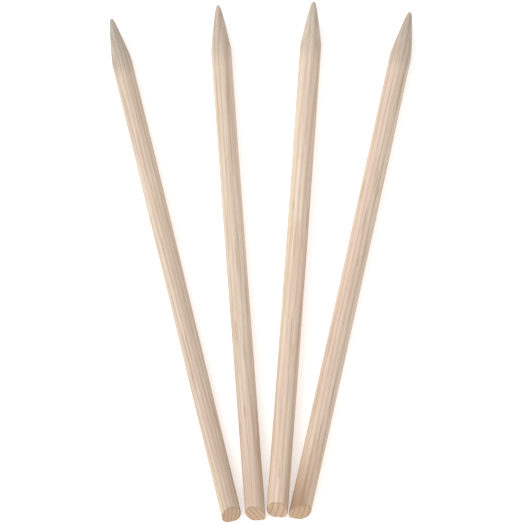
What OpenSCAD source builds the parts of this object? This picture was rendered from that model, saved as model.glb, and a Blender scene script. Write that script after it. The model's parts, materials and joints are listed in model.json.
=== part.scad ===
// Four wooden cuticle sticks laid out as a fan on a flat surface.
// Each stick is one turned piece of wood: a pointed end, a round shank and a bevelled end.
// Millimetres. X runs across the fan, Y runs from the bevelled ends to the points, Z is up.
// The origin is on the surface, under the middle of the fan.

/* [Stick] */
// Length of each stick from its point to its bevelled end, from left to right
stick_length = [114, 114, 114, 114.5]; // [90:0.5:180]
// Diameter of each round shank, from left to right
stick_diameter = [4.5, 4.5, 4.75, 4.85]; // [3.5:0.05:6]

/* [Pointed end] */
// Length of the point
point_length = 9.5; // [6:0.5:14]
// Diameter of the blunted tip
tip_diameter = 0.6; // [0.3:0.1:1]
// How full the point is: 1 is a straight cone and less is rounder
point_fullness = 0.78; // [0.6:0.02:1]

/* [Bevelled end] */
// Angle between the bevel and the stick's own axis
bevel_angle = 50; // [35:1:65]
// Thickness of the blunt lip left at the long side of the bevel
lip_thickness = 0.6; // [0.2:0.1:1]
// Chamfer round the rim of the bevelled end
rim_chamfer = 0.25; // [0.1:0.05:0.4]

/* [Fan] */
// Lean of each stick to the left of the Y axis, from left to right
lean = [13.6, 4.2, -4.1, -12.4]; // [-30:0.1:30]
// Gap along X between each stick and the next, level with the middle of the bevels
gap = [0.85, 0.2, 0.2]; // [0:0.05:3]
// Place of each bevelled end along Y, from the right inner stick's end
stagger = [-0.9, -0.75, 0, -0.45]; // [-1.5:0.05:1.5]
// Turn of each bevel about the stick's own axis: 0 faces straight up
bevel_turn = [10, -16, -6, 20]; // [-45:1:45]

/* [Hidden] */

$fn = 96;
wood_colour = [0.87, 0.76, 0.62];
point_steps = 14;
tip_radius = tip_diameter / 2;

function radius(i) = stick_diameter[i] / 2;

// Distance from a bevelled end to where the stick's axis meets the bevel
function bevel_middle(i) = (radius(i) - lip_thickness) / tan(bevel_angle);

// Radius of a stick's point at a distance from its tip
function point_radius(i, distance) =
    tip_radius + (radius(i) - tip_radius) * pow(distance / point_length, point_fullness);

// Half outline of a stick as [radius, height], from the middle of its bevelled end to its tip
function outline(i) = concat(
    [[0, 0], [radius(i) - rim_chamfer, 0], [radius(i), rim_chamfer]],
    [for (step = [point_steps:-1:0])
        let (distance = point_length * step / point_steps)
        [point_radius(i, distance), stick_length[i] - distance]],
    [[0, stick_length[i]]]
);

// Width of a leaning stick measured along X
function width_across(i) = stick_diameter[i] / cos(lean[i]);

// Where each stick's axis crosses the line that the gaps are measured along, from the left stick's
function crossing_x(i) =
    i == 0 ? 0 : crossing_x(i - 1) + (width_across(i - 1) + width_across(i)) / 2 + gap[i - 1];

// Middle of a stick's bevelled end
function butt(i) = [crossing_x(i) + (bevel_middle(i) - stagger[i]) * tan(lean[i]), stagger[i]];

// Extreme positions in plan of a stick before its bevel is cut: [lowest x, highest x, lowest y, highest y]
function reach(i) =
    let (
        x = [for (p = outline(i), side = [-1, 1])
            butt(i)[0] - p[1] * sin(lean[i]) + side * p[0] * cos(lean[i])],
        y = [for (p = outline(i), side = [-1, 1])
            butt(i)[1] + p[1] * cos(lean[i]) + side * p[0] * sin(lean[i])]
    )
    [min(x), max(x), min(y), max(y)];

reaches = [for (i = [0:len(lean) - 1]) reach(i)];
fan_middle = [
    (min([for (r = reaches) r[0]]) + max([for (r = reaches) r[1]])) / 2,
    (min([for (r = reaches) r[2]]) + max([for (r = reaches) r[3]])) / 2
];

// A stick upright on its bevelled end, with the bevel facing +X
module stick(i) {
    cutter = 4 * stick_diameter[i];
    color(wood_colour)
    difference() {
        rotate_extrude() polygon(outline(i));
        translate([lip_thickness - radius(i), 0, 0])
        rotate([0, bevel_angle - 90, 0])
        translate([-cutter / 2, -cutter / 2, -cutter])
        cube(cutter);
    }
}

// A stick in its place in the fan, resting on the surface
module placed_stick(i) {
    translate([butt(i)[0] - fan_middle[0], butt(i)[1] - fan_middle[1], radius(i)])
    rotate([0, 0, lean[i]])
    rotate([-90, 0, 0])
    rotate([0, 0, -90 + bevel_turn[i]])
    stick(i);
}

module left_outer_stick() placed_stick(0);
module left_inner_stick() placed_stick(1);
module right_inner_stick() placed_stick(2);
module right_outer_stick() placed_stick(3);

left_outer_stick();
left_inner_stick();
right_inner_stick();
right_outer_stick();
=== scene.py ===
"""Four wooden cuticle sticks fanned out on a pale floor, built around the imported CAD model."""
import json
import math

import bpy
import numpy as np
from mathutils import Matrix, Vector


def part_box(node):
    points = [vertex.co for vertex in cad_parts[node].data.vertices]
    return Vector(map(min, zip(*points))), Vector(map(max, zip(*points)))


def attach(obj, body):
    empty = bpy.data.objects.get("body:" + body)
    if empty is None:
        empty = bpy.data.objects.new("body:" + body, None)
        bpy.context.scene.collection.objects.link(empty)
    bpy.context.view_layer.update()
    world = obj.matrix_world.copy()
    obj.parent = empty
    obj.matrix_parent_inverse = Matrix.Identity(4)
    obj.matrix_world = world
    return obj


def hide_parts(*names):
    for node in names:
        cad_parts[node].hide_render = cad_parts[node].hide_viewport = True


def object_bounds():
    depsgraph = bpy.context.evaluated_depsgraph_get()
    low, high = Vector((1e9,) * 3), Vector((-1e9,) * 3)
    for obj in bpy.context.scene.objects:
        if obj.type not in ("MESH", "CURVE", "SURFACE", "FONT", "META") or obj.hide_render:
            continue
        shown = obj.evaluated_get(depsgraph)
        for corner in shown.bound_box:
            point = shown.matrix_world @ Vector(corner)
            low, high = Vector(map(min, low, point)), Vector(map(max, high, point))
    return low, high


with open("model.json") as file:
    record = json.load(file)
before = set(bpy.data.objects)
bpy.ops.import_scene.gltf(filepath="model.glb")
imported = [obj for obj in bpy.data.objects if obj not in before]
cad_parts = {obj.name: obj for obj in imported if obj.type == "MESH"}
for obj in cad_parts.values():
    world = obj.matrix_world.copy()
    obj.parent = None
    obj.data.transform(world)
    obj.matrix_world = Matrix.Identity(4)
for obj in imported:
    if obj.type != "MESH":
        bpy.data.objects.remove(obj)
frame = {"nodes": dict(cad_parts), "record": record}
cad_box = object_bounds()

MM = 0.001

# The sticks' bodies and how their wood differs. A stick's CAD node adds _stick to the body's name, and
# its bevel's mount adds _bevel. tone is how much darker the whole stick is. The next number is how
# strongly painted shade darkens and greys the stick's point. The one after that is how strongly
# painted shade darkens the last 30 millimetres up to its bevelled end, where the sticks lie close
# together.
# Each has one brown band of painted shade, which on right_outer is the painted shadow of its neighbour
# with some stain. The band's numbers are how many degrees round from the stick's right side it lies,
# how many millimetres long it is, and how strong it is, from 0 to 1.
STICKS = {
    "left_outer": {
        "shape_seed": 11, "wood_seed": 113, "tone": 0.06, "point_shade": 0.66, "painted_butt_shade": 0.1,
        "shade_and_stain_turn": 58, "shade_and_stain_length": 110, "shade_and_stain": 0.08,
    },
    "left_inner": {
        "shape_seed": 12, "wood_seed": 114, "tone": 0.02, "point_shade": 0.45, "painted_butt_shade": 0.04,
        "shade_and_stain_turn": 68, "shade_and_stain_length": 40, "shade_and_stain": 0.05,
    },
    "right_inner": {
        "shape_seed": 13, "wood_seed": 107, "tone": -0.05, "point_shade": 0.5, "painted_butt_shade": 0.04,
        "shade_and_stain_turn": 60, "shade_and_stain_length": 32, "shade_and_stain": 0.05,
    },
    "right_outer": {
        "shape_seed": 14, "wood_seed": 116, "tone": -0.01, "point_shade": 0.6, "painted_butt_shade": 0.32,
        "shade_and_stain_turn": 122, "shade_and_stain_length": 18, "shade_and_stain": 1.0,
    },
}

# Shape of a stick, in millimetres
POINT_LENGTH = 9.5
POINT_FULLNESS = 0.78
TIP_RADIUS = 0.3
TIP_ROUNDING = 0.34  # length over which the tip closes
SHOULDER_SOFTNESS = 0.14
RIM_SOFTNESS = 0.2
LIP_SOFTNESS = 0.16
BEVEL_CROWN = 0.012  # how far the bevel falls away, per square millimetre from its middle
BOW = (0.05, 0.1)  # least and most that the middle of a stick is bent aside

# Unevenness of a stick's surface, in millimetres. Each of the first six is half of the full depth.
LOBE_DEPTH = 0.016  # broad waves that leave the stick a little out of round
RIDGE_DEPTH = 0.009
FIBRE_DEPTH = 0.0055
FACET_DEPTH = 0.04  # flats on the point
TURNING_DEPTH = 0.01  # the cutter's marks round the point
SANDING_DEPTH = 0.005  # the ripples that sanding leaves across the bevel
TURNING_PITCH = 0.62
SANDING_PITCH = 0.48
GROOVE_DEPTH = 0.045  # deepest open grain
GROOVE_COUNT = 46
DENT_COUNT = 9
CHIP_COUNT = 5
CLEAR_OF_ENDS = (2, 6)  # hollows lie from 2 past the bevel's middle to 6 less than the stick's length
RIM_WIDTH = 0.16  # how far the rubbed rim reaches
END_BLEND = 0.12  # width over which the side's wood turns into the bevel's

# Density of a stick's mesh
AROUND = 144
END_RINGS = 72
END_CENTRE = 3.2  # height above the bevel's middle from which the end's points are cast
CAST_HALVINGS = 32
SHANK_STEP = 0.25
POINT_STEP = 0.1
FINE_LEAD = 2  # length of shank before the point that has the point's close rings
TIP_RINGS = 10

# Light: sizes in metres and power in watts
SURROUND_STRENGTH = 0.8
FLOOR_GLOW = 0.35
KEY_OFFSET = (-0.46, 0.25, 0.51)
KEY_SIZE = 0.6
KEY_POWER = 3.0

# Camera and floor, as multiples of the fan's own sizes
VIEW_HEIGHT = 1.0047  # height of the picture, in lengths of the fan
VIEW_OFFSET = 0.0031  # how far right of the fan's middle the camera is, in heights of the picture
FLOOR_REACH = 14  # half the floor's width, in diagonals of the fan


# ---- Where the sticks lie ----

def middle(points):
    """Middle of the box round some points."""
    low = Vector([min(p[i] for p in points) for i in range(3)])
    high = Vector([max(p[i] for p in points) for i in range(3)])
    return (low + high) / 2


def read_stick(body):
    """A stick's own frame and sizes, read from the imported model.

    The frame is in millimetres, with +Y along the stick to its point, +Z up, and its origin where
    the stick's axis meets the bevel.
    """
    node = frame["nodes"][body + "_stick"]
    mount = next(m for m in frame["record"]["mounts"] if m["name"] == body + "_bevel")
    foot = Vector(mount["pos_m"])
    points = [v.co.copy() for v in node.data.vertices]
    farthest = max(points, key=lambda p: (p - foot).length)
    rough_along = (farthest - foot).normalized()
    tip_face = 0.05 * MM
    tip = middle([p for p in points if (farthest - p).dot(rough_along) < tip_face])
    along = (tip - foot).normalized()
    up = Vector((0, 0, 1))
    turn = Matrix((along.cross(up), along, up)).transposed()
    low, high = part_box(body + "_stick")
    return {
        "to_row": Matrix.Translation(foot) @ turn.to_4x4() @ Matrix.Scale(MM, 4),
        "radius": (high.z - low.z) / 2 / MM,
        "tip_y": (tip - foot).length / MM,
        "butt_y": min((p - foot).dot(along) for p in points) / MM,
        "bevel": np.array(turn.transposed() @ Vector(mount["axis"])),
    }


# ---- Shape of a stick ----

def smooth_step(t):
    """Eased 0 to 1."""
    t = np.clip(t, 0, 1)
    return t * t * (3 - 2 * t)


def smooth_max(a, b, reach):
    """The larger of two fields, rounded where they are within reach of each other."""
    near = np.maximum(reach - np.abs(a - b), 0)
    return np.maximum(a, b) + near * near / (4 * reach)


def lattice_noise(rng, around, along, length):
    """A smooth random function of angle and y, from -1 to 1, that closes round the stick.

    It has `around` cells in a turn, and a cell is `along` millimetres long. The grid has spare rows
    past both ends of the stick.
    """
    grid = rng.uniform(-1, 1, (int(length / along) + 6, around))

    def value(angle, y):
        u = angle / (2 * np.pi) * around
        v = y / along + 2
        i = np.floor(u).astype(int)
        j = np.clip(np.floor(v).astype(int), 0, grid.shape[0] - 2)
        s, t = smooth_step(u - i), smooth_step(v - j)
        near = grid[j, i % around] * (1 - s) + grid[j, (i + 1) % around] * s
        far = grid[j + 1, i % around] * (1 - s) + grid[j + 1, (i + 1) % around] * s
        return near * (1 - t) + far * t

    return value


def random_hollows(rng, count, length, half_lengths, half_widths, depths):
    """Hollows scattered over a stick, as rows of (angle, y, half length, half width, depth)."""
    return np.column_stack([
        rng.uniform(0, 2 * np.pi, count),
        rng.uniform(CLEAR_OF_ENDS[0], length - CLEAR_OF_ENDS[1], count),
        rng.uniform(*half_lengths, count),
        rng.uniform(*half_widths, count),
        rng.uniform(*depths, count),
    ])


def hollow_depth(hollows, angle, y, radius):
    """Depth of the hollows at points of the surface."""
    depth = np.zeros(np.broadcast(angle, y).shape)
    for centre, middle_y, half_length, half_width, deep in hollows:
        turn = (angle - centre + np.pi) % (2 * np.pi) - np.pi
        inside = smooth_step(1.5 - 1.5 * np.abs(y - middle_y) / half_length)
        depth = np.maximum(depth, deep * inside * np.exp(-(turn * radius / half_width) ** 2))
    return depth


def make_relief(rng, stick):
    """A function that gives how far the stick's surface is sunk, and how much of that is open grain."""
    length = stick["tip_y"] - stick["butt_y"]
    lobes = lattice_noise(rng, 3, 34, length)
    ridges = lattice_noise(rng, 34, 22, length)
    fibres = lattice_noise(rng, 84, 9, length)
    facets = lattice_noise(rng, 9, 5, length)
    grooves = random_hollows(rng, GROOVE_COUNT, length, (1.2, 6), (0.09, 0.2), (0.012, GROOVE_DEPTH))
    dents = random_hollows(rng, DENT_COUNT, length, (0.5, 1.3), (0.25, 0.6), (0.015, 0.04))

    def relief(angle, y):
        slim = np.clip((stick["tip_y"] - y) / POINT_LENGTH, 0.1, 1)
        on_point = smooth_step((y - stick["tip_y"] + POINT_LENGTH + 1) / 2)
        marks = 1 + np.cos(2 * np.pi * y / TURNING_PITCH + angle + 2 * lobes(angle, y))
        sunk = LOBE_DEPTH * (1 - lobes(angle, y)) + RIDGE_DEPTH * (1 - ridges(angle, y))
        sunk = sunk + FIBRE_DEPTH * (1 - fibres(angle, y))
        sunk = sunk + on_point * (FACET_DEPTH * (1 - facets(angle, y)) + TURNING_DEPTH * marks)
        sunk = sunk + hollow_depth(dents, angle, y, stick["radius"])
        groove = hollow_depth(grooves, angle, y, stick["radius"])
        return (sunk + groove) * slim, groove * slim

    return relief


def outline_radius(stick, y):
    """Radius of the stick without its relief, with a softened shoulder and a rounded tip."""
    to_tip = np.maximum(stick["tip_y"] - y, 0)
    taper = TIP_RADIUS + (stick["radius"] - TIP_RADIUS) * (to_tip / POINT_LENGTH) ** POINT_FULLNESS
    radius = -smooth_max(-stick["radius"], -taper, SHOULDER_SOFTNESS)
    closing = np.clip(to_tip / TIP_ROUNDING, 0, 1)
    return radius * np.sqrt(1 - (1 - closing) ** 2)


def rim_nicks(rng, stick):
    """Small chips out of the bevel's rim, as (place, width, depth)."""
    n = stick["bevel"]
    nicks = []
    for turn in rng.uniform(0, 2 * np.pi, CHIP_COUNT):
        x, z = stick["radius"] * np.cos(turn), stick["radius"] * np.sin(turn)
        y = max(-(n[0] * x + n[2] * z) / n[1], stick["butt_y"])
        nicks.append((np.array([x, y, z]), rng.uniform(0.16, 0.34), rng.uniform(0.04, 0.11)))
    return nicks


def end_rings(stick, relief, rng):
    """Rings of the bevelled end, from its middle outwards, as (x, y, z) arrays.

    Each point is cast from inside the stick to where it meets the side, the bevel or the lip. With
    them come how far each point is onto the end, and how close it is to the rim, both from 0 to 1.
    """
    nicks = rim_nicks(rng, stick)
    phase = rng.uniform(0, 2 * np.pi)
    polar = np.linspace(0, np.pi / 2, END_RINGS + 1)[1:-1, None]
    angle = np.linspace(0, 2 * np.pi, AROUND, endpoint=False)[None, :]
    side_x = np.sin(polar) * np.cos(angle)
    side_z = np.sin(polar) * np.sin(angle)
    down = -np.cos(polar) * np.ones_like(angle)

    def outside(t):
        x, y, z = side_x * t, END_CENTRE + down * t, side_z * t
        n = stick["bevel"]
        side = np.hypot(x, z) - stick["radius"] + relief(np.arctan2(z, x) % (2 * np.pi), y)[0]
        crowned = n[0] * x + n[1] * y + n[2] * z + BEVEL_CROWN * (x * x + y * y + z * z)
        ripples = np.sin(2 * np.pi * (z - 0.3 * x) / SANDING_PITCH + phase + np.sin(1.3 * x + phase))
        sanded = crowned + SANDING_DEPTH * (1 + ripples)
        end = smooth_max(sanded, stick["butt_y"] - y, LIP_SOFTNESS)
        field = smooth_max(side, end, RIM_SOFTNESS)
        for place, width, deep in nicks:
            squares = (x - place[0]) ** 2 + (y - place[1]) ** 2 + (z - place[2]) ** 2
            field = field + deep * np.exp(-squares / width ** 2)
        return field, end - side

    near = np.zeros_like(side_x)
    far = np.full_like(side_x, 3 * stick["radius"] + END_CENTRE)
    for _ in range(CAST_HALVINGS):
        half = (near + far) / 2
        inside = outside(half)[0] < 0
        near, far = np.where(inside, half, near), np.where(inside, far, half)
    past_rim = outside(near)[1]
    on_end = smooth_step(past_rim / END_BLEND + 0.5)
    rim = np.exp(-(past_rim / RIM_WIDTH) ** 2)
    return side_x * near, END_CENTRE + down * near, side_z * near, on_end, rim


def build_stick_points(stick, rng):
    """All rings of a stick's surface, from its bevel to its tip, and the points that close its ends."""
    relief = make_relief(rng, stick)
    bow = rng.choice((-1, 1)) * rng.uniform(*BOW)
    close_from = stick["tip_y"] - POINT_LENGTH - FINE_LEAD
    shank = np.arange(END_CENTRE, close_from, SHANK_STEP)
    point = np.arange(close_from, stick["tip_y"] - TIP_ROUNDING, POINT_STEP)
    closing = np.linspace(0, np.pi / 2, TIP_RINGS + 1)[:-1]
    tip = stick["tip_y"] - TIP_ROUNDING * (1 - np.sin(closing))
    y = np.concatenate([shank, point, tip])[:, None]
    angle = np.linspace(0, 2 * np.pi, AROUND, endpoint=False)[None, :]
    sunk, groove = relief(angle, y)
    radius = np.maximum(outline_radius(stick, y) - sunk, 0.02)
    x_end, y_end, z_end, on_end, rim = end_rings(stick, relief, rng)
    x = np.vstack([x_end, radius * np.cos(angle)])
    z = np.vstack([z_end, radius * np.sin(angle)])
    y = np.vstack([y_end, y * np.ones_like(angle)])
    groove = np.vstack([np.zeros_like(x_end), groove])
    on_end = np.vstack([on_end, np.zeros_like(radius)])
    rim = np.vstack([rim, np.zeros_like(radius)])
    first = np.array([0, y_end[0].mean(), 0])
    last = np.array([0, stick["tip_y"], 0])
    points = np.vstack([np.stack([x, y, z], axis=-1).reshape(-1, 3), first, last])
    along = np.clip((points[:, 1] - stick["butt_y"]) / (stick["tip_y"] - stick["butt_y"]), 0, 1)
    bowed = points.copy()
    bowed[:, 0] += 4 * bow * along * (1 - along)
    return {
        "points": bowed,
        "grain": points,
        "groove": np.append(groove.ravel() / GROOVE_DEPTH, [0, 0]),
        "end_grain": np.append(on_end.ravel(), [1, 0]),
        "rim": np.append(rim.ravel(), [0, 0]),
        "rings": x.shape[0],
    }


def ring_faces(rings):
    """Quads between neighbouring rings, and a fan of triangles at each end."""
    first, last = rings * AROUND, rings * AROUND + 1
    faces = []
    for j in range(AROUND):
        k = (j + 1) % AROUND
        faces.append((first, j, k))
        top = (rings - 1) * AROUND
        faces.append((last, top + k, top + j))
        faces += [
            (i * AROUND + j, (i + 1) * AROUND + j, (i + 1) * AROUND + k, i * AROUND + k)
            for i in range(rings - 1)
        ]
    return faces


def add_attribute(mesh, name, kind, values):
    """Stores values on the mesh's vertices for its material to read."""
    attribute = mesh.attributes.new(name, kind, "POINT")
    field = "vector" if kind == "FLOAT_VECTOR" else "value"
    attribute.data.foreach_set(field, np.asarray(values, np.float32).ravel())


def make_stick(body, seed):
    """One stick as a mesh that stands for its CAD node."""
    stick = read_stick(body)
    shape = build_stick_points(stick, np.random.default_rng(seed))
    to_row = np.array(stick["to_row"])
    placed = shape["points"] @ to_row[:3, :3].T + to_row[:3, 3]
    mesh = bpy.data.meshes.new(body + "_birch_stick")
    mesh.from_pydata(placed.tolist(), [], ring_faces(shape["rings"]))
    add_attribute(mesh, "grain", "FLOAT_VECTOR", shape["grain"])
    for name in ("groove", "end_grain", "rim"):
        add_attribute(mesh, name, "FLOAT", shape[name])
    mesh.polygons.foreach_set("use_smooth", [True] * len(mesh.polygons))
    mesh.update()
    piece = bpy.data.objects.new(body + "_birch_stick", mesh)
    bpy.context.scene.collection.objects.link(piece)
    return piece, stick


# ---- Materials ----

def srgb(red, green, blue):
    """A colour given in 0 to 255 display values, as the shader's linear RGBA."""
    def linear(c):
        c /= 255
        return c / 12.92 if c <= 0.04045 else ((c + 0.055) / 1.055) ** 2.4
    return (linear(red), linear(green), linear(blue), 1)


class Graph:
    """A material's nodes, with short ways to add and join them."""

    def __init__(self, name):
        self.material = bpy.data.materials.new(name)
        self.material.use_nodes = True
        self.tree = self.material.node_tree
        self.tree.nodes.clear()

    def add(self, kind, inputs, **settings):
        """Adds a node. inputs maps a socket's name or number to a value or to another node's output."""
        node = self.tree.nodes.new(kind)
        for key, value in settings.items():
            setattr(node, key, value)
        for key, value in inputs.items():
            if isinstance(value, bpy.types.NodeSocket):
                self.tree.links.new(value, node.inputs[key])
            else:
                node.inputs[key].default_value = value
        return node

    def math(self, operation, a, b=0.0):
        return self.add("ShaderNodeMath", {0: a, 1: b}, operation=operation).outputs[0]

    def times(self, a, b):
        return self.math("MULTIPLY", a, b)

    def weighted_sum(self, *terms):
        """Adds up (value, weight) pairs."""
        parts = [self.times(value, weight) for value, weight in terms]
        total = parts[0]
        for part in parts[1:]:
            total = self.math("ADD", total, part)
        return total

    def dot(self, vector, direction):
        """How far a vector reaches along a direction."""
        node = self.add("ShaderNodeVectorMath", {0: vector, 1: direction}, operation="DOT_PRODUCT")
        return node.outputs["Value"]

    def stretch(self, vector, scale):
        return self.add("ShaderNodeVectorMath", {0: vector, 1: scale}, operation="MULTIPLY").outputs[0]

    def shift(self, vector, offset):
        return self.add("ShaderNodeVectorMath", {0: vector, 1: offset}, operation="ADD").outputs[0]

    def noise(self, vector, scale, detail):
        """Noise with its own scale in cells a millimetre along each axis."""
        inputs = {"Vector": self.stretch(vector, scale), "Scale": 1.0, "Detail": detail}
        return self.add("ShaderNodeTexNoise", inputs).outputs["Fac"]

    def between(self, value, low, high):
        """Eased 0 to 1 as value goes from low to high."""
        inputs = {"Value": value, "From Min": low, "From Max": high}
        return self.add("ShaderNodeMapRange", inputs, interpolation_type="SMOOTHSTEP").outputs[0]

    def rescale(self, value, low, high):
        """Values from 0 to 1 spread from low to high."""
        return self.add("ShaderNodeMapRange", {"Value": value, "To Min": low, "To Max": high}).outputs[0]

    def mix(self, factor, a, b, blend="MIX"):
        inputs = {"Factor": factor, 6: a, 7: b}
        return self.add("ShaderNodeMix", inputs, data_type="RGBA", blend_type=blend).outputs[2]

    def shade(self, factor, colour, strength):
        """Multiplies a colour by a grey that is darker by strength where factor is 1."""
        grey = self.math("SUBTRACT", 1.0, self.times(factor, strength))
        return self.mix(1.0, colour, grey, "MULTIPLY")

    def pores(self, vector, scale, width):
        """Specks stretched along the grain, each with its own strength. width is a share of a cell."""
        cells = self.add("ShaderNodeTexVoronoi", {"Vector": self.stretch(vector, scale), "Scale": 1.0})
        strength = self.add("ShaderNodeSeparateColor", {0: cells.outputs["Color"]}).outputs[0]
        speck = self.between(cells.outputs["Distance"], width, 0.35 * width)
        return self.times(speck, self.between(strength, 0.1, 0.9))

    def attribute(self, name):
        node = self.add("ShaderNodeAttribute", {}, attribute_name=name)
        return node.outputs["Vector"] if name == "grain" else node.outputs["Fac"]


CREAM = srgb(223, 206, 187)
TAN = srgb(208, 184, 160)
PINK = srgb(216, 194, 177)
LATE_WOOD = srgb(181, 150, 122)
PORE = srgb(138, 104, 78)
# Brown of the painted shade towards the bevelled end, where the sticks lie close together.
BUTT_SHADE_BROWN = srgb(200, 164, 128)
# Brown of each stick's band of painted shade, which on right_outer also stands for some stain.
SHADE_AND_STAIN_BROWN = srgb(122, 82, 60)
END_WOOD = srgb(216, 182, 150)
END_LATE_WOOD = srgb(168, 132, 102)
END_RAY = srgb(226, 198, 170)
RUBBED = srgb(158, 130, 104)
# Grey that is multiplied into the points as painted shade.
POINT_SHADE_GREY = srgb(191, 201, 207)
PORE_STRENGTH = 0.55


def growth_rings(g, place, pith, spacing):
    """Distance from the tree's middle, which lies beside the stick, counted in growth rings.

    pith is where the middle is (x, z) and how much it leans for each millimetre along the stick.
    """
    wander = g.noise(place, (0.12, 0.02, 0.12), 1.0)
    ragged = g.noise(place, (2.4, 0.06, 2.4), 3.0)
    axes = g.add("ShaderNodeSeparateXYZ", {0: place}).outputs
    lean_x = g.math("ADD", g.times(axes[1], pith[2]), -pith[0])
    lean_z = g.math("ADD", g.times(axes[1], pith[3]), -pith[1])
    x = g.math("ADD", axes[0], lean_x)
    z = g.math("ADD", axes[2], lean_z)
    distance = g.math("SQRT", g.weighted_sum((x, x), (z, z)))
    rings = g.math("DIVIDE", distance, spacing)
    return g.weighted_sum((rings, 1.0), (wander, 1.6), (ragged, 0.3))


def wood_rays(g, grain, toward):
    """Thin bright lines across the rings on the bevel. toward is the angle of the tree's middle."""
    across_rings = g.dot(grain, (math.cos(toward), 0, math.sin(toward)))
    along_rings = g.dot(grain, (-math.sin(toward), 0, math.cos(toward)))
    flat = g.add("ShaderNodeCombineXYZ", {0: across_rings, 1: along_rings}).outputs[0]
    return g.between(g.noise(flat, (0.7, 9.0, 1.0), 2.0), 0.55, 0.72)


def wood_patterns(g, stick, seed):
    """The patterns that the wood's colour, height and roughness are made from, as node outputs."""
    rng = np.random.default_rng(seed)
    place = g.attribute("grain")
    grain = g.shift(place, tuple(rng.uniform(-40, 40, 3) * (1, 0, 1)))
    far = rng.uniform(14, 30)
    toward = rng.uniform(0, 2 * math.pi)
    pith = (far * math.cos(toward), far * math.sin(toward), *rng.uniform(-0.02, 0.02, 2))
    phase = g.math("FRACT", growth_rings(g, place, pith, rng.uniform(0.8, 1.3)))
    y = g.add("ShaderNodeSeparateXYZ", {0: place}).outputs[1]
    shoulder_y = stick["tip_y"] - POINT_LENGTH
    large_pores = g.pores(grain, (4.3, 0.3, 4.3), 0.13)
    small_pores = g.pores(grain, (9.0, 0.5, 9.0), 0.2)
    patches = g.between(g.noise(place, (1.1, 1.1, 1.1), 2.0), 0.35, 0.65)
    return {
        "place": place,
        "y": y,
        "late": g.times(g.between(phase, 0.45, 0.93), g.between(phase, 1.0, 0.95)),
        "clouds": g.noise(grain, (0.45, 0.022, 0.45), 2.0),
        "streaks": g.noise(grain, (2.6, 0.05, 2.6), 3.0),
        "fibres": g.noise(grain, (11.0, 0.16, 11.0), 2.0),
        "pores": g.math("MAXIMUM", small_pores, large_pores),
        "stain": g.between(g.noise(grain, (1.3, 0.035, 1.3), 1.0), 0.66, 0.76),
        "rays": wood_rays(g, grain, toward),
        "sanding": g.noise(grain, (1.2, 9.0, 9.0), 2.0),
        "turning": g.noise(place, (0.8, 7.0, 0.8), 2.0),
        "on_point": g.between(y, shoulder_y - 0.6, shoulder_y + 1.2),
        "groove": g.attribute("groove"),
        "end_grain": g.attribute("end_grain"),
        "rubbed": g.times(g.attribute("rim"), g.rescale(patches, 0.25, 0.75)),
    }


def side_colour(g, wood):
    """Wide soft bands of tint, late wood, fibres, pores, and faint brown streaks where sap has dried."""
    colour = g.mix(g.between(wood["clouds"], 0.35, 0.65), CREAM, PINK)
    colour = g.mix(g.times(g.between(wood["streaks"], 0.4, 0.7), 0.75), colour, TAN)
    colour = g.mix(g.times(wood["late"], 0.42), colour, LATE_WOOD)
    colour = g.shade(g.between(wood["fibres"], 0.42, 0.72), colour, 0.13)
    colour = g.mix(g.times(wood["pores"], PORE_STRENGTH), colour, PORE)
    return g.mix(g.times(wood["stain"], 0.35), colour, LATE_WOOD)


def bevel_colour(g, wood):
    """The bevel's wood, which is cut across the fibres and so is darker and browner."""
    colour = g.mix(g.times(wood["late"], 0.7), END_WOOD, END_LATE_WOOD)
    colour = g.mix(g.times(wood["rays"], 0.5), colour, END_RAY)
    colour = g.shade(g.between(wood["sanding"], 0.4, 0.7), colour, 0.14)
    return g.mix(g.times(wood["pores"], PORE_STRENGTH), colour, PORE)


def shade_and_stain_band(g, wood, stick, look):
    """The stick's brown band of painted shade, from its bevelled end upwards, with uneven edges. On
    right_outer it is the painted shadow of its neighbour, with some stain.
    """
    turn = math.radians(look["shade_and_stain_turn"])
    toward = (math.cos(turn) / stick["radius"], 0, math.sin(turn) / stick["radius"])
    nearness = g.math("ADD", g.dot(wood["place"], toward), g.rescale(wood["streaks"], -0.3, 0.3))
    fade = g.between(wood["y"], look["shade_and_stain_length"], -0.3 * look["shade_and_stain_length"])
    return g.times(g.times(g.between(nearness, 0.4, 0.9), fade), look["shade_and_stain"])


def painted_point_shade(g, wood, stick, strength):
    """How strongly painted shade darkens and greys the point: most at its shoulder, and a little below
    that.
    """
    y = wood["y"]
    shoulder_y = stick["tip_y"] - POINT_LENGTH
    worn_y = g.math("ADD", y, g.rescale(wood["streaks"], -3.0, 3.0))
    point_shade = g.times(g.between(worn_y, shoulder_y - 4.5, shoulder_y + 0.5), strength)
    point_shade = g.times(point_shade, g.rescale(g.between(y, stick["tip_y"] - 1, shoulder_y), 1.0, 0.65))
    point_shade = g.times(point_shade, g.rescale(wood["turning"], 0.8, 1.2))
    return g.weighted_sum((point_shade, 1.0), (g.between(y, shoulder_y - 30, shoulder_y), 0.1))


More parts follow.
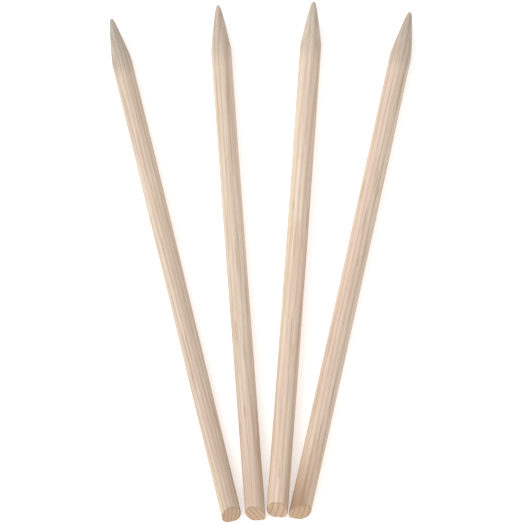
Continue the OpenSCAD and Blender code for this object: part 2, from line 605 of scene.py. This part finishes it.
def birch(name, stick, look):
    """Pale birch with a darker bevel, painted shade on the point and towards the bevelled end, and a
    brown band of painted shade.
    """
    g = Graph(name)
    wood = wood_patterns(g, stick, look["wood_seed"])
    # Painted shade: a brown band on the shaded right side of left_outer, left_inner and right_inner, and
    # on right_outer the painted shadow of its neighbour near the bevelled end, with some stain.
    colour = g.mix(shade_and_stain_band(g, wood, stick, look), side_colour(g, wood), SHADE_AND_STAIN_BROWN)
    colour = g.mix(g.times(wood["groove"], 0.45), colour, PORE)
    colour = g.mix(g.times(wood["end_grain"], 0.85), colour, bevel_colour(g, wood))
    colour = g.mix(wood["rubbed"], colour, RUBBED)
    # Painted shade: the point darkened and greyed, most at its shoulder.
    colour = g.mix(painted_point_shade(g, wood, stick, look["point_shade"]), colour, POINT_SHADE_GREY, "MULTIPLY")
    # Painted shade: darker over the last 30 millimetres towards the bevelled end, where the sticks lie
    # close together.
    near_butt = g.between(wood["y"], 30.0, -4.0)
    colour = g.mix(g.times(near_butt, look["painted_butt_shade"]), colour, BUTT_SHADE_BROWN)
    colour = g.shade(1.0, colour, look["tone"])

    height = g.weighted_sum(
        (wood["fibres"], 0.5),
        (wood["streaks"], 0.3),
        (wood["pores"], -0.45),
        (wood["turning"], wood["on_point"]),
        (g.times(wood["sanding"], wood["end_grain"]), 0.9),
    )
    bump = g.add("ShaderNodeBump", {"Height": height, "Strength": 0.75, "Distance": 0.06 * MM})
    roughness = g.weighted_sum(
        (g.rescale(wood["fibres"], 0.5, 0.72), 1.0),
        (wood["on_point"], -0.1),
        (wood["end_grain"], 0.14),
        (wood["rubbed"], -0.25),
    )
    shader = g.add("ShaderNodeBsdfPrincipled", {
        "Base Color": colour,
        "Roughness": roughness,
        "Specular IOR Level": 0.32,
        "Normal": bump.outputs[0],
    })
    g.add("ShaderNodeOutputMaterial", {"Surface": shader.outputs[0]})
    return g.material


def matt_white(name):
    """The floor's matt white, with the faintest unevenness and a little light of its own."""
    g = Graph(name)
    place = g.add("ShaderNodeTexCoord", {}).outputs["Object"]
    mottle = g.noise(place, (30.0, 30.0, 30.0), 3.0)
    colour = g.mix(mottle, (0.9, 0.9, 0.9, 1), (0.915, 0.915, 0.915, 1))
    shader = g.add("ShaderNodeBsdfPrincipled", {
        "Base Color": colour, "Roughness": 0.85, "Specular IOR Level": 0.2,
        "Emission Color": (1, 1, 1, 1), "Emission Strength": FLOOR_GLOW,
    })
    g.add("ShaderNodeOutputMaterial", {"Surface": shader.outputs[0]})
    return g.material


# ---- Floor, light and camera ----

def make_floor(low, high):
    """A wide plain floor under the sticks."""
    half = FLOOR_REACH * (high - low).length
    mesh = bpy.data.meshes.new("floor")
    corners = [(-half, -half, 0), (half, -half, 0), (half, half, 0), (-half, half, 0)]
    mesh.from_pydata(corners, [], [(0, 1, 2, 3)])
    floor = bpy.data.objects.new("floor", mesh)
    floor.location.z = low.z
    floor.data.materials.append(matt_white("floor_white"))
    bpy.context.scene.collection.objects.link(floor)


def aim(thing, target):
    """Turns a light or camera to look at a point."""
    direction = Vector(target) - thing.location
    thing.rotation_euler = direction.to_track_quat("-Z", "Y").to_euler()


def add_light(name, place, target, size, energy):
    """A square softbox that the camera doesn't see."""
    light = bpy.data.lights.new(name, "AREA")
    light.size = size
    light.energy = energy
    holder = bpy.data.objects.new(name, light)
    holder.location = place
    aim(holder, target)
    holder.visible_camera = False
    bpy.context.scene.collection.objects.link(holder)


def make_lights(centre):
    """A big softbox high on the left, out past the points, and an even white surround."""
    world = bpy.data.worlds.new("studio")
    world.use_nodes = True
    world.node_tree.nodes["Background"].inputs["Color"].default_value = (1, 1, 1, 1)
    world.node_tree.nodes["Background"].inputs["Strength"].default_value = SURROUND_STRENGTH
    bpy.context.scene.world = world
    add_light("key_softbox", centre + Vector(KEY_OFFSET), centre, KEY_SIZE, KEY_POWER)


def make_camera(low, high):
    """A long lens straight above, whose picture is only just higher than the fan."""
    camera = bpy.data.cameras.new("camera")
    camera.lens = 150
    camera.sensor_width = 36
    side = VIEW_HEIGHT * (high.y - low.y)
    height = side * camera.lens / camera.sensor_width
    holder = bpy.data.objects.new("camera", camera)
    centre = (low + high) / 2
    holder.location = centre + Vector((VIEW_OFFSET * side, 0, height))
    camera.clip_start, camera.clip_end = 0.01, 10
    bpy.context.scene.collection.objects.link(holder)
    bpy.context.scene.camera = holder


make_camera(*cad_box)
make_lights((cad_box[0] + cad_box[1]) / 2)
make_floor(*cad_box)

for body, look in STICKS.items():
    piece, stick = make_stick(body, look["shape_seed"])
    piece.data.materials.append(birch(f"birch_{body}", stick, look))
    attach(piece, body)
    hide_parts(body + "_stick")

bpy.context.scene.view_settings.view_transform = "Standard"
